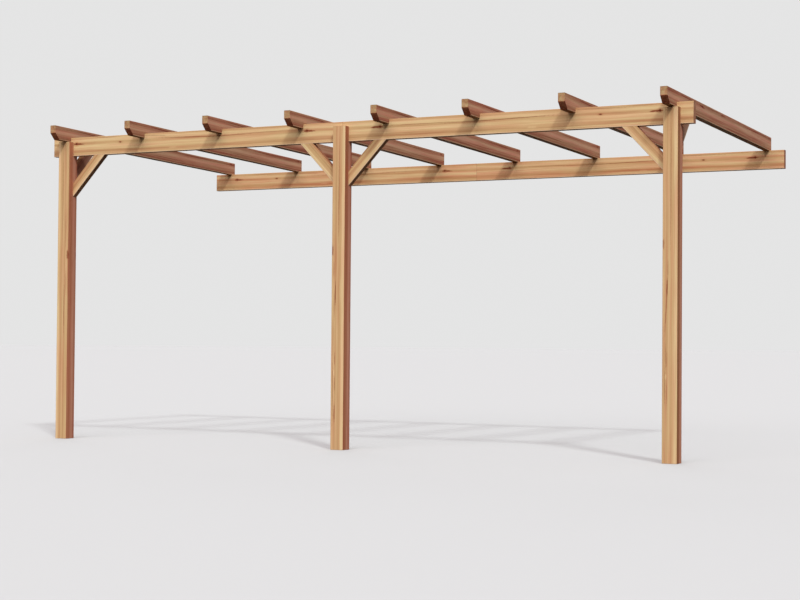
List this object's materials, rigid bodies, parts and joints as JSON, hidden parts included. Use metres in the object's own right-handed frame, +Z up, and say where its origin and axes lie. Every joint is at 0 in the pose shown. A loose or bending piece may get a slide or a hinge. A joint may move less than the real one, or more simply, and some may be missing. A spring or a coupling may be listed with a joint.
{
  "type": "wall mounted wooden pergola",
  "caption": "Lean-to garden pergola of planed timber: housed posts with knee braces carry a front beam, and notched rafters run back to a wall plate.",
  "frame": {"origin": "centre of the middle post's foot, at the level that the posts stand on", "axes": "+X along the front beam to the right as seen from the garden, +Y from the posts to the wall, +Z up"},
  "size_m": [4.88, 2.4, 2.2785],
  "materials": {
    "timber": "planed softwood with a honey brown stain, matt"
  },
  "bodies": {
    "root": {"left_post": "timber", "middle_post": "timber", "right_post": "timber", "left_beam": "timber", "right_beam": "timber", "left_wall_plate": "timber", "right_wall_plate": "timber", "left_post_brace": "timber", "middle_post_left_brace": "timber", "middle_post_right_brace": "timber", "right_post_brace": "timber", "left_rafter_brace": "timber", "right_rafter_brace": "timber", "rafter_1": "timber", "rafter_2": "timber", "rafter_3": "timber", "rafter_4": "timber", "rafter_5": "timber", "rafter_6": "timber", "rafter_7": "timber", "rafter_8": "timber"}
  },
  "joints": []
}
